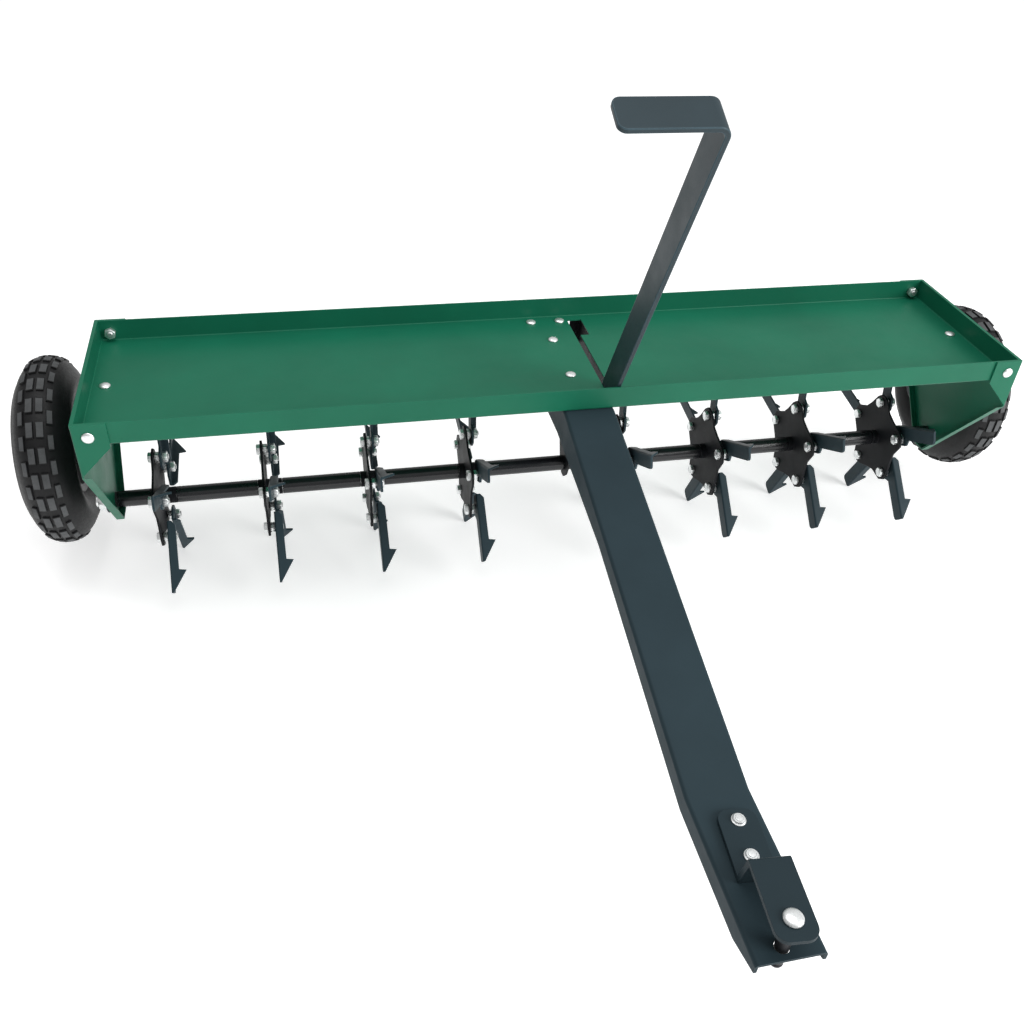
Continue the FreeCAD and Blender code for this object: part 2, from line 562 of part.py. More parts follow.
os.makedirs("parts", exist_ok=True)
save("tray", tray())
save("end_panel_left", end_panel(-1))
save("end_panel_right", end_panel(1))
save("panel_bushes", panel_bushes())
save("center_hanger", center_hanger())
save("lever_guide", lever_guide())
save("drawbar", drawbar())
save("hitch_strap", hitch_strap())
save("corner_bolts", corner_bolts())
save("floor_bolts", floor_bolts())
save("drawbar_bolts", drawbar_bolts())
save("hanger_bolts", hanger_bolts())
save("strap_bolts", strap_bolts())
save("main_shaft", main_shaft())
save("spacer_tubes", spacer_tubes())
save("lift_lever", lift_lever())
save("shaft_nuts", shaft_nuts())
for name, side in (("left", -1), ("right", 1)):
    save("crank_arm_" + name, crank_arm(side))
    save("wheel_spindle_" + name, wheel_spindle(side))
    save("tire_" + name, tire(side))
    save("rim_" + name, rim(side))
    save("hub_" + name, hub(side))
for index, place in enumerate(SPIDER_X):
    save("spider_plate_%d" % (index + 1), spider_plate(place))
    save("spoons_%d" % (index + 1), spoons(place))
    save("spoon_bolts_%d" % (index + 1), spoon_bolts(place))
save("hitch_pin", hitch_pin())
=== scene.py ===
import json
import math

import bmesh
import bpy
from mathutils import Matrix, Vector

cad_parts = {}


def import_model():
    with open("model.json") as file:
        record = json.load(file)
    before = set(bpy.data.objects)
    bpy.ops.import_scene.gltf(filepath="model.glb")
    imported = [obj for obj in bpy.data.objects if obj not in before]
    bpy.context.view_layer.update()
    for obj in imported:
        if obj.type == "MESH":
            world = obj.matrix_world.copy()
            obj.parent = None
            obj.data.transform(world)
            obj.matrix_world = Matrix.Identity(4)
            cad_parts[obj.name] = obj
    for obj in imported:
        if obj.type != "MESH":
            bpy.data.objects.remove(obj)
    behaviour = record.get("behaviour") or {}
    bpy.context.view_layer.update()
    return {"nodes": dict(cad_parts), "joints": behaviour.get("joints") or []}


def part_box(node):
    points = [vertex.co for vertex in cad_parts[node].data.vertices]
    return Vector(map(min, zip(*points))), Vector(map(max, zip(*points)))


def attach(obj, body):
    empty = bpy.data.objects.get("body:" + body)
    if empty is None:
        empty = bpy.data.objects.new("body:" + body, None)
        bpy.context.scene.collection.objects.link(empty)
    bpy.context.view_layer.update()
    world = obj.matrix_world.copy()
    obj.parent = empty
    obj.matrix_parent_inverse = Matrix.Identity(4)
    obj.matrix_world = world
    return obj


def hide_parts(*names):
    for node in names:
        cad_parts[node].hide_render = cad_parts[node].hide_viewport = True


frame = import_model()
MM = 0.001
WORLD_POWER = 0.74
FLOOR_SIZE = 60.0
FLOOR_TONE, FLOOR_GLOW = 0.86, 0.44          # pale floor; the glow keeps its shadows faint
LENS, SENSOR = 34.84, 36.0                   # camera, millimetres
CAMERA_YAW, CAMERA_PITCH, CAMERA_ROLL = 14.38, 37.8, -3.67
CAMERA_FROM_TRAY = (-0.3511, -1.0117, 0.6281)   # from the middle of the tray's front top edge
CORNER_HEAD = 3.0 * MM                       # height of the round heads on the end panels
STRAP_T = 5.0 * MM
TREAD_PITCHES = 24
PIN_CUT = 8.0 * MM                           # the visible pin ends this much above the CAD's
SPIDERS = range(1, 9)


# ---------------------------------------------------------------- materials
def new_material(name, base, rough, metallic=0.0, gloss=0.5):
    """Principled material; returns (material, nodes, links, shader)."""
    mat = bpy.data.materials.new(name)
    mat.use_nodes = True
    tree = mat.node_tree
    bsdf = tree.nodes["Principled BSDF"]
    bsdf.inputs["Base Color"].default_value = (*base, 1.0)
    bsdf.inputs["Roughness"].default_value = rough
    bsdf.inputs["Metallic"].default_value = metallic
    bsdf.inputs["Specular IOR Level"].default_value = gloss
    mat.diffuse_color = (*base, 1.0)
    return mat, tree.nodes, tree.links, bsdf


def noise(nodes, links, scale, detail=3.0, rough=0.55, stretch=None):
    """Noise in the object's own metres, optionally stretched along an axis."""
    tex = nodes.new("ShaderNodeTexNoise")
    tex.inputs["Scale"].default_value = scale
    tex.inputs["Detail"].default_value = detail
    tex.inputs["Roughness"].default_value = rough
    coord = nodes.new("ShaderNodeTexCoord")
    if stretch:
        mapping = nodes.new("ShaderNodeMapping")
        mapping.inputs["Scale"].default_value = stretch
        links.new(coord.outputs["Object"], mapping.inputs["Vector"])
        links.new(mapping.outputs["Vector"], tex.inputs["Vector"])
    else:
        links.new(coord.outputs["Object"], tex.inputs["Vector"])
    return tex.outputs["Fac"]


def ramp(nodes, links, source, low, high, start=0.3, end=0.7):
    """Colour ramp between two colours or two grey values."""
    def as_rgba(v):
        return (*v, 1.0) if hasattr(v, "__len__") else (v, v, v, 1.0)

    node = nodes.new("ShaderNodeValToRGB")
    node.color_ramp.elements[0].position = start
    node.color_ramp.elements[1].position = end
    node.color_ramp.elements[0].color = as_rgba(low)
    node.color_ramp.elements[1].color = as_rgba(high)
    links.new(source, node.inputs["Fac"])
    return node.outputs["Color"]


def bump(nodes, links, source, strength, distance, below=None):
    node = nodes.new("ShaderNodeBump")
    node.inputs["Strength"].default_value = strength
    node.inputs["Distance"].default_value = distance
    links.new(source, node.inputs["Height"])
    if below:
        links.new(below, node.inputs["Normal"])
    return node.outputs["Normal"]


def scaled(color, k):
    return tuple(min(1.0, c * k) for c in color)


def powder_coat(name, base, rough, spread=0.10, peel=0.35, gloss=0.22):
    """Satin powder coat: faint mottling, orange peel, and slightly uneven gloss."""
    mat, nodes, links, bsdf = new_material(name, base, rough, 0.0, gloss)
    cloud = noise(nodes, links, 7.0, 4.0)
    links.new(ramp(nodes, links, cloud, scaled(base, 1 - spread), scaled(base, 1 + spread)),
              bsdf.inputs["Base Color"])
    handling = noise(nodes, links, 26.0, 5.0, 0.65)
    links.new(ramp(nodes, links, handling, rough - 0.05, rough + 0.06), bsdf.inputs["Roughness"])
    skin = noise(nodes, links, 620.0, 2.0)
    fine = noise(nodes, links, 2600.0, 2.0)
    normal = bump(nodes, links, skin, peel * 0.5, 0.0004)
    links.new(bump(nodes, links, fine, peel * 0.35, 0.0002, normal), bsdf.inputs["Normal"])
    return mat


def zinc_plate(name, base, rough):
    """Bright zinc: grainy tone, small rough patches."""
    mat, nodes, links, bsdf = new_material(name, base, rough, metallic=0.85)
    grain = noise(nodes, links, 900.0, 4.0, 0.6)
    links.new(ramp(nodes, links, grain, scaled(base, 0.86), scaled(base, 1.08)),
              bsdf.inputs["Base Color"])
    patch = noise(nodes, links, 210.0, 3.0)
    links.new(ramp(nodes, links, patch, rough - 0.08, rough + 0.12), bsdf.inputs["Roughness"])
    links.new(bump(nodes, links, grain, 0.12, 0.0001), bsdf.inputs["Normal"])
    return mat


def rubber(name, base, rough, dust=0.35):
    """Moulded rubber with a dry, slightly dusty bloom and fine pits."""
    mat, nodes, links, bsdf = new_material(name, base, rough, 0.0, 0.3)
    bloom = noise(nodes, links, 60.0, 6.0, 0.7)
    links.new(ramp(nodes, links, bloom, scaled(base, 1 - dust), scaled(base, 1 + dust)),
              bsdf.inputs["Base Color"])
    scuff = noise(nodes, links, 340.0, 4.0)
    links.new(ramp(nodes, links, scuff, rough - 0.06, rough + 0.10), bsdf.inputs["Roughness"])
    pits = noise(nodes, links, 1800.0, 3.0)
    links.new(bump(nodes, links, pits, 0.22, 0.0003), bsdf.inputs["Normal"])
    return mat


def turned_steel(name, base, rough):
    """Machined steel with rings around the X axis of the part."""
    mat, nodes, links, bsdf = new_material(name, base, rough, metallic=0.9)
    rings = noise(nodes, links, 40.0, 4.0, 0.6, stretch=(60.0, 1.0, 1.0))
    links.new(ramp(nodes, links, rings, scaled(base, 0.8), scaled(base, 1.12)),
              bsdf.inputs["Base Color"])
    links.new(ramp(nodes, links, rings, rough - 0.07, rough + 0.1), bsdf.inputs["Roughness"])
    links.new(bump(nodes, links, rings, 0.15, 0.0002), bsdf.inputs["Normal"])
    return mat


def moulded_plastic(name, base, rough):
    mat, nodes, links, bsdf = new_material(name, base, rough)
    tone = noise(nodes, links, 45.0, 3.0)
    links.new(ramp(nodes, links, tone, scaled(base, 0.85), scaled(base, 1.15)),
              bsdf.inputs["Base Color"])
    links.new(ramp(nodes, links, tone, rough - 0.04, rough + 0.06), bsdf.inputs["Roughness"])
    grain = noise(nodes, links, 1500.0, 2.0)
    links.new(bump(nodes, links, grain, 0.2, 0.0002), bsdf.inputs["Normal"])
    return mat


GREEN = (0.0065, 0.128, 0.070)
SLATE = (0.020, 0.035, 0.043)
BLACK = (0.0085, 0.0092, 0.0110)
TINE = (0.026, 0.045, 0.055)
# The lighter, glossier edge copies of the paints go on the bevel faces: a painted edge highlight.
MATS = {
    "green_paint": powder_coat("green_paint", GREEN, 0.40),
    "green_painted_highlight": powder_coat("green_painted_highlight", scaled(GREEN, 1.35), 0.34, 0.2),
    "slate_paint": powder_coat("slate_paint", SLATE, 0.42, 0.12),
    "slate_painted_highlight": powder_coat("slate_painted_highlight", scaled(SLATE, 1.8), 0.34, 0.25),
    "bar_paint": powder_coat("bar_paint", scaled(SLATE, 1.05), 0.52, 0.12, 0.35, 0.09),
    "bar_painted_highlight": powder_coat("bar_painted_highlight", scaled(SLATE, 2.6), 0.34, 0.25, 0.35, 0.5),
    "black_paint": powder_coat("black_paint", BLACK, 0.50, 0.15, 0.35, 0.10),
    "black_painted_highlight": powder_coat("black_painted_highlight", scaled(BLACK, 1.5), 0.42, 0.25, 0.35, 0.2),
    "strap_paint": powder_coat("strap_paint", scaled(SLATE, 0.85), 0.50, 0.12, 0.35, 0.12),
    "shaft_paint": powder_coat("shaft_paint", scaled(BLACK, 1.1), 0.24, 0.15, 0.2, 0.5),
    "tine_paint": powder_coat("tine_paint", scaled(TINE, 0.9), 0.46, 0.15, 0.35, 0.12),
    "tine_painted_highlight": powder_coat("tine_painted_highlight", scaled(TINE, 1.6), 0.36, 0.3, 0.35, 0.25),
    "zinc": zinc_plate("zinc", (0.86, 0.88, 0.88), 0.30),
    "thread": zinc_plate("thread", (0.62, 0.63, 0.63), 0.38),
    # painted shade: near-black steel for the hitch pin shank and the spindle stub, which sit in
    # shade
    "painted_shade_steel": zinc_plate("painted_shade_steel", (0.035, 0.036, 0.040), 0.45),
    "tyre": rubber("tyre", (0.0060, 0.0061, 0.0068), 0.52),
    # tread block tops: a much lighter grey than the carcass
    "tread_top": rubber("tread_top", (0.078, 0.081, 0.084), 0.70, 0.22),
    "rim_paint": powder_coat("rim_paint", (0.011, 0.0115, 0.013), 0.34, 0.15),
    "bearing_steel": turned_steel("bearing_steel", (0.16, 0.165, 0.17), 0.40),
    "nylon": moulded_plastic("nylon", (0.022, 0.022, 0.024), 0.55),
}


# ---------------------------------------------------------------- mesh helpers
def add_piece(name, mesh_or_bm, body, mats, replaces=(), smooth=35.0):
    """Turns a bmesh or mesh into a named piece that rides a body and stands for CAD nodes."""
    if isinstance(mesh_or_bm, bmesh.types.BMesh):
        mesh = bpy.data.meshes.new(name)
        bmesh.ops.recalc_face_normals(mesh_or_bm, faces=mesh_or_bm.faces)
        mesh_or_bm.to_mesh(mesh)
        mesh_or_bm.free()
    else:
        mesh = mesh_or_bm
    slots = [poly.material_index for poly in mesh.polygons]
    mesh.materials.clear()
    for m in mats:
        mesh.materials.append(MATS[m])
    for poly, index in zip(mesh.polygons, slots):
        poly.material_index = index
    if smooth:
        for poly in mesh.polygons:
            poly.use_smooth = True
        mesh.set_sharp_from_angle(angle=math.radians(smooth))
    obj = bpy.data.objects.new(name, mesh)
    bpy.context.scene.collection.objects.link(obj)
    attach(obj, body)
    if replaces:
        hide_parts(*replaces)
    return obj


def merged_bmesh(node):
    """The CAD node's surface, welded and with its flat faces joined into single faces."""
    bm = bmesh.new()
    bm.from_mesh(frame["nodes"][node].data)
    bmesh.ops.remove_doubles(bm, verts=bm.verts, dist=2e-6)
    bmesh.ops.dissolve_limit(bm, angle_limit=math.radians(0.4), verts=bm.verts, edges=bm.edges)
    return bm


def softened(node, body, paint, edge_highlight_paint, width, segments=2, angle=40.0):
    """A CAD sheet part with its sharp edges broken by a small real bevel; the bevel faces take the
    second material, a lighter copy of the paint that is a painted edge highlight.
    """
    bm = merged_bmesh(node)
    for f in bm.faces:
        f.material_index = 0
        f.smooth = True
    mesh = bpy.data.meshes.new(node + "_raw")
    bm.to_mesh(mesh)
    bm.free()
    mesh.materials.clear()
    mesh.materials.append(MATS[paint])
    mesh.materials.append(MATS[edge_highlight_paint])
    raw = bpy.data.objects.new(node + "_raw", mesh)
    bpy.context.scene.collection.objects.link(raw)
    mod = raw.modifiers.new("bevel", "BEVEL")
    mod.width = width
    mod.segments = segments
    mod.limit_method = "ANGLE"
    mod.angle_limit = math.radians(angle)
    # the bevel faces take the lighter second material: a painted edge highlight
    mod.material = 1
    mod.use_clamp_overlap = True
    even = raw.modifiers.new("normals", "WEIGHTED_NORMAL")
    even.mode = "FACE_AREA"
    even.weight = 100
    even.keep_sharp = True
    graph = bpy.context.evaluated_depsgraph_get()
    done = bpy.data.meshes.new_from_object(raw.evaluated_get(graph))
    bpy.data.objects.remove(raw)
    return add_piece(node + "_skin", done, body, [paint, edge_highlight_paint], (node,), 0)


def islands(node):
    """(lowest, highest) corner of each separate solid in a CAD node."""
    bm = bmesh.new()
    bm.from_mesh(frame["nodes"][node].data)
    bmesh.ops.remove_doubles(bm, verts=bm.verts, dist=2e-6)
    seen, out = set(), []
    for v in bm.verts:
        if v in seen:
            continue
        stack, group = [v], []
        seen.add(v)
        while stack:
            w = stack.pop()
            group.append(w.co.copy())
            for e in w.link_edges:
                o = e.other_vert(w)
                if o not in seen:
                    seen.add(o)
                    stack.append(o)
        lo = Vector([min(p[i] for p in group) for i in range(3)])
        hi = Vector([max(p[i] for p in group) for i in range(3)])
        out.append((lo, hi))
    bm.free()
    return out


def lathe(bm, profile, place, steps=48, mat=0, closed=False):
    """Turns (radius, height) points about local Z and adds the surface to bm."""
    rings = []
    for r, h in profile:
        if r < 1e-7:
            rings.append([bm.verts.new(place @ Vector((0, 0, h)))])
        else:
            rings.append([bm.verts.new(place @ Vector((r * math.cos(a), r * math.sin(a), h)))
                          for a in (2 * math.pi * k / steps for k in range(steps))])
    pairs = list(zip(rings[:-1], rings[1:]))
    if closed:
        pairs.append((rings[-1], rings[0]))
    for a, b in pairs:
        for k in range(steps):
            n = (k + 1) % steps
            ring = [a[k % len(a)], a[n % len(a)], b[n % len(b)], b[k % len(b)]]
            uniq = []
            for v in ring:
                if v not in uniq:
                    uniq.append(v)
            if len(uniq) > 2:
                bm.faces.new(uniq).material_index = mat


def hex_block(bm, flats, z0, z1, place, chamfer=0.0007, spin=0.0, both=False, bore=0.0, mat=0):
    """Hexagon with its corners turned off by a cone at the top (and at the bottom)."""
    apothem, n = flats / 2.0, 36
    corner = apothem / math.cos(math.pi / 6)

    def hex_r(a):
        k = (a - spin) % (math.pi / 3)
        return apothem / math.cos(k - math.pi / 6)

    def ring(z, limit):
        return [bm.verts.new(place @ Vector((min(hex_r(a), limit) * math.cos(a),
                                             min(hex_r(a), limit) * math.sin(a), z)))
                for a in (2 * math.pi * k / n + spin for k in range(n))]

    drop = (corner - apothem) * 0.58
    rows = []
    if both:
        rows += [ring(z0, apothem * 0.97), ring(z0 + 0.0002, apothem), ring(z0 + drop, corner)]
    else:
        rows += [ring(z0, corner)]
    rows += [ring(z1 - drop, corner), ring(z1 - 0.0002, apothem), ring(z1, apothem * 0.95)]
    for a, b in zip(rows[:-1], rows[1:]):
        for k in range(n):
            bm.faces.new((a[k], a[(k + 1) % n], b[(k + 1) % n], b[k])).material_index = mat
    bm.faces.new(rows[0][::-1]).material_index = mat
    bm.faces.new(rows[-1]).material_index = mat


def axis_place(origin, direction):
    """Matrix that puts local +Z along a direction, at a point."""
    z = Vector(direction).normalized()
    return Matrix.Translation(origin) @ z.to_track_quat("Z", "Y").to_matrix().to_4x4()


def dome_head(bm, radius, height, place, dimple=0.0):
    """Round button head with a small land at its rim."""
    profile = [(radius * 0.93, 0.0), (radius, height * 0.10), (radius, height * 0.26)]
    for k in range(1, 8):
        a = math.pi / 2 * k / 8
        profile.append((radius * math.cos(a) * 0.985, height * (0.26 + 0.74 * math.sin(a))))
    if dimple:
        profile += [(dimple, height * 0.99), (dimple * 0.8, height * 0.80), (0.0, height * 0.78)]
    else:
        profile += [(0.0, height)]
    lathe(bm, profile, place, 40)


def thread_end(bm, radius, z0, z1, place, mat=1):
    """Threaded end: fine ridges, then a chamfered tip."""
    pitch = 0.00115
    profile, z = [(radius, z0)], z0
    while z + pitch < z1 - radius * 0.25:
        profile += [(radius, z + pitch * 0.3), (radius * 0.88, z + pitch * 0.65)]
        z += pitch
    profile += [(radius, z1 - radius * 0.22), (radius * 0.8, z1), (0.0, z1)]
    lathe(bm, profile, place, 24, mat)


def plain_rod(bm, radius, z0, z1, place):
    lathe(bm, [(0.0, z0), (radius, z0), (radius, z1), (0.0, z1)], place, 24)


# ---------------------------------------------------------------- sheet and bar parts
softened("tray", "frame", "green_paint", "green_painted_highlight", 0.0007)
for side in ("left", "right"):
    softened("end_panel_" + side, "frame", "green_paint", "green_painted_highlight", 0.0007)
    softened("crank_arm_" + side, "lift", "slate_paint", "slate_painted_highlight", 0.0008)
softened("center_hanger", "frame", "black_paint", "black_painted_highlight", 0.0006)
softened("lever_guide", "frame", "black_paint", "black_painted_highlight", 0.0006)
softened("drawbar", "frame", "bar_paint", "bar_painted_highlight", 0.0008)
softened("hitch_strap", "frame", "strap_paint", "strap_paint", 0.0008)
softened("lift_lever", "lift", "slate_paint", "slate_painted_highlight", 0.0012, 3)
softened("spacer_tubes", "lift", "shaft_paint", "black_painted_highlight", 0.0008)
for k in SPIDERS:
    softened("spider_plate_%d" % k, "spider_%d" % k, "black_paint",
             "black_painted_highlight", 0.0006)
    softened("spoons_%d" % k, "spider_%d" % k, "tine_paint", "tine_painted_highlight", 0.0005)
for node, mat in (("panel_bushes", "nylon"), ("main_shaft", "zinc")):
    cad = frame["nodes"][node]
    cad.data.materials.clear()
    cad.data.materials.append(MATS[mat])


# ---------------------------------------------------------------- fasteners
def floor_fasteners(node):
    """Round heads on the tray floor with a nut and thread below."""
    bm = bmesh.new()
    for lo, hi in islands(node):
        c = (lo + hi) / 2
        radius = (hi.x - lo.x) / 2
        place = axis_place(Vector((c.x, c.y, 0)), (0, 0, 1))
        dome_head(bm, radius, 3.4 * MM, place @ Matrix.Translation((0, 0, hi.z - 3.4 * MM)))
        down = axis_place(Vector((c.x, c.y, hi.z)), (0, 0, -1))
        length = hi.z - lo.z
        plain_rod(bm, 3.0 * MM, 3.0 * MM, length - 7.5 * MM, down)
        hex_block(bm, 9.9 * MM, length - 15.2 * MM, length - 10.1 * MM, down, both=True)
        thread_end(bm, 3.0 * MM, length - 10.3 * MM, length, down)
    return bm


def corner_fasteners():
    """Flange bolts through the panel flanges, nuts inside the tray lips."""
    bm = bmesh.new()
    middle = (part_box("tray")[0].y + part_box("tray")[1].y) / 2
    for lo, hi in islands("corner_bolts"):
        c = (lo + hi) / 2
        sign = 1 if c.y > middle else -1
        face = hi.y - CORNER_HEAD if sign > 0 else lo.y + CORNER_HEAD
        out = axis_place(Vector((c.x, face, c.z)), (0, sign, 0))
        dome_head(bm, 7.0 * MM, CORNER_HEAD, out, 1.6 * MM)
        into = axis_place(Vector((c.x, face, c.z)), (0, -sign, 0))
        plain_rod(bm, 4.0 * MM, 0.0, 6.0 * MM, into)
        length = (hi.y - lo.y) - CORNER_HEAD
        hex_block(bm, 13.0 * MM, 4.55 * MM, 11.3 * MM, into, both=True, spin=0.3)
        thread_end(bm, 3.9 * MM, 11.0 * MM, length, into)
    return bm


def strap_fasteners():
    """Flange nuts on top of the hitch strap with the bolt ends showing."""
    bm = bmesh.new()
    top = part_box("hitch_strap")[0].z + STRAP_T
    for lo, hi in islands("strap_bolts"):
        c = (lo + hi) / 2
        up = axis_place(Vector((c.x, c.y, top)), (0, 0, 1))
        lathe(bm, [(0.0, 0.0), (7.0 * MM, 0.0), (7.2 * MM, 0.4 * MM), (7.0 * MM, 1.1 * MM),
                   (5.9 * MM, 1.7 * MM), (5.6 * MM, 3.0 * MM), (5.2 * MM, 3.5 * MM),
                   (4.1 * MM, 3.55 * MM), (3.9 * MM, 2.7 * MM), (3.6 * MM, 2.7 * MM),
                   (3.5 * MM, 3.9 * MM), (2.9 * MM, 4.0 * MM), (0.0, 4.0 * MM)], up, 40)
        down = axis_place(Vector((c.x, c.y, top)), (0, 0, -1))
        length = top - lo.z
        plain_rod(bm, 4.0 * MM, 0.2 * MM, 9.0 * MM, down)
        hex_block(bm, 13.0 * MM, 8.05 * MM, 14.8 * MM, down, both=True)
        thread_end(bm, 3.9 * MM, 14.6 * MM, length, down)
    return bm


def spoon_fasteners(node, hub_y, hub_z):
    """Hex bolts with one nut behind the plate and one behind the spoon."""
    bm = bmesh.new()
    for lo, hi in islands(node):
        c = (lo + hi) / 2
        spin = math.atan2(c.z - hub_z, c.y - hub_y)
        place = Matrix.Translation((lo.x, c.y, c.z)) @ Matrix.Rotation(math.pi / 2, 4, "Y")
        head = Matrix.Translation((lo.x + 5.3 * MM, c.y, c.z)) @ \
            Matrix.Rotation(-math.pi / 2, 4, "Y")
        lathe(bm, [(0.0, 0.0), (6.3 * MM, 0.0), (6.3 * MM, 0.5 * MM), (0.0, 0.5 * MM)], head, 36)
        hex_block(bm, 12.9 * MM, 0.5 * MM, 5.3 * MM, head, spin=spin)
        plain_rod(bm, 4.0 * MM, 5.3 * MM, 19.0 * MM, place)
        hex_block(bm, 13.0 * MM, 8.35 * MM, 14.6 * MM, place, both=True, spin=spin + 0.3)
        hex_block(bm, 13.0 * MM, 18.3 * MM, 24.7 * MM, place, both=True, spin=spin)
        thread_end(bm, 3.9 * MM, 24.5 * MM, hi.x - lo.x, place)
    return bm


for node in ("floor_bolts", "drawbar_bolts", "hanger_bolts"):
    add_piece(node + "_set", floor_fasteners(node), "frame", ["zinc", "thread"], (node,))
add_piece("corner_bolts_set", corner_fasteners(), "frame", ["zinc", "thread"],
          ("corner_bolts",))
add_piece("strap_bolts_set", strap_fasteners(), "frame", ["zinc", "thread"],
          ("strap_bolts",))
JOINTS = {j["name"]: j for j in frame["joints"]}
for k in SPIDERS:
    pos = JOINTS["spider_%d_spin" % k]["pos_m"]
    node = "spoon_bolts_%d" % k
    add_piece(node + "_set", spoon_fasteners(node, pos[1], pos[2]), "spider_%d" % k,
              ["zinc", "thread"], (node,))


def shaft_end_nuts():
    bm = bmesh.new()
    for lo, hi in islands("shaft_nuts"):
        c = (lo + hi) / 2
        sign = 1 if c.x > 0 else -1
        inner = lo.x if sign > 0 else hi.x
        place = axis_place(Vector((inner, c.y, c.z)), (sign, 0, 0))
        lathe(bm, [(8.0 * MM, 0.0), (14.0 * MM, 0.0), (14.0 * MM, 1.2 * MM), (8.0 * MM, 1.2 * MM)],
              place, 40)
        hex_block(bm, 23.6 * MM, 1.2 * MM, hi.x - lo.x, place, both=True, spin=0.2)
    return bm


add_piece("shaft_nuts_set", shaft_end_nuts(), "lift", ["zinc", "thread"], ("shaft_nuts",))


def spindle(side):
    """Axle stub: collar, plain journal, washer, lock nut and threaded end."""
    lo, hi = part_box("wheel_spindle_" + side)
    sign = 1 if side == "right" else -1
    c = (lo + hi) / 2
    length = hi.x - lo.x
    inner = lo.x if sign > 0 else hi.x
    place = axis_place(Vector((inner, c.y, c.z)), (sign, 0, 0))
    bm = bmesh.new()
    # stub body in the near-black steel: painted shade
    lathe(bm, [(0.0, 0.0), (7.6 * MM, 0.0), (8.0 * MM, 0.4 * MM), (8.0 * MM, 6.0 * MM),
               (12.4 * MM, 6.0 * MM), (13.0 * MM, 6.6 * MM), (13.0 * MM, 32.6 * MM),
               (12.4 * MM, 33.2 * MM), (8.0 * MM, 33.2 * MM), (8.0 * MM, 92.0 * MM),
               (0.0, 92.0 * MM)], place, 48, 2)
    lathe(bm, [(8.0 * MM, 88.4 * MM), (14.0 * MM, 88.4 * MM), (14.0 * MM, 90.3 * MM),
               (8.0 * MM, 90.3 * MM)], place, 40)
    hex_block(bm, 23.6 * MM, 90.4 * MM, 98.0 * MM, place, both=True)
    lathe(bm, [(9.6 * MM, 97.5 * MM), (9.6 * MM, 98.9 * MM), (7.6 * MM, 98.9 * MM)], place, 40)
    thread_end(bm, 7.5 * MM, 97.8 * MM, length, place)
    return bm


for side in ("left", "right"):
    add_piece("wheel_spindle_%s_turned" % side, spindle(side), "lift",
              ["zinc", "thread", "painted_shade_steel"], ("wheel_spindle_" + side,))


def pin():
    """Hitch pin: large round head, near-black shank with a clip groove, chamfered end; the
    near-black shank is painted shade that keeps it hidden in the shadow between the strap and the
    drawbar.
    """
    lo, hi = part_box("hitch_pin")
    c = (lo + hi) / 2
    up = axis_place(Vector((c.x, c.y, lo.z)), (0, 0, 1))
    length = hi.z - lo.z
    head_r = (hi.x - lo.x) / 2
    bm = bmesh.new()
    lathe(bm, [(0.0, PIN_CUT), (4.8 * MM, PIN_CUT), (6.0 * MM, 9.6 * MM), (6.35 * MM, 10.6 * MM),
               (6.35 * MM, 12.0 * MM), (5.7 * MM, 12.4 * MM), (5.7 * MM, 14.6 * MM),
               (6.35 * MM, 15.0 * MM), (6.35 * MM, length - 4.8 * MM)], up, 40, 1)
    dome_head(bm, head_r, 4.6 * MM, up @ Matrix.Translation((0, 0, length - 4.6 * MM)))
    return bm


add_piece("hitch_pin_turned", pin(), "pin", ["zinc", "painted_shade_steel"], ("hitch_pin",))


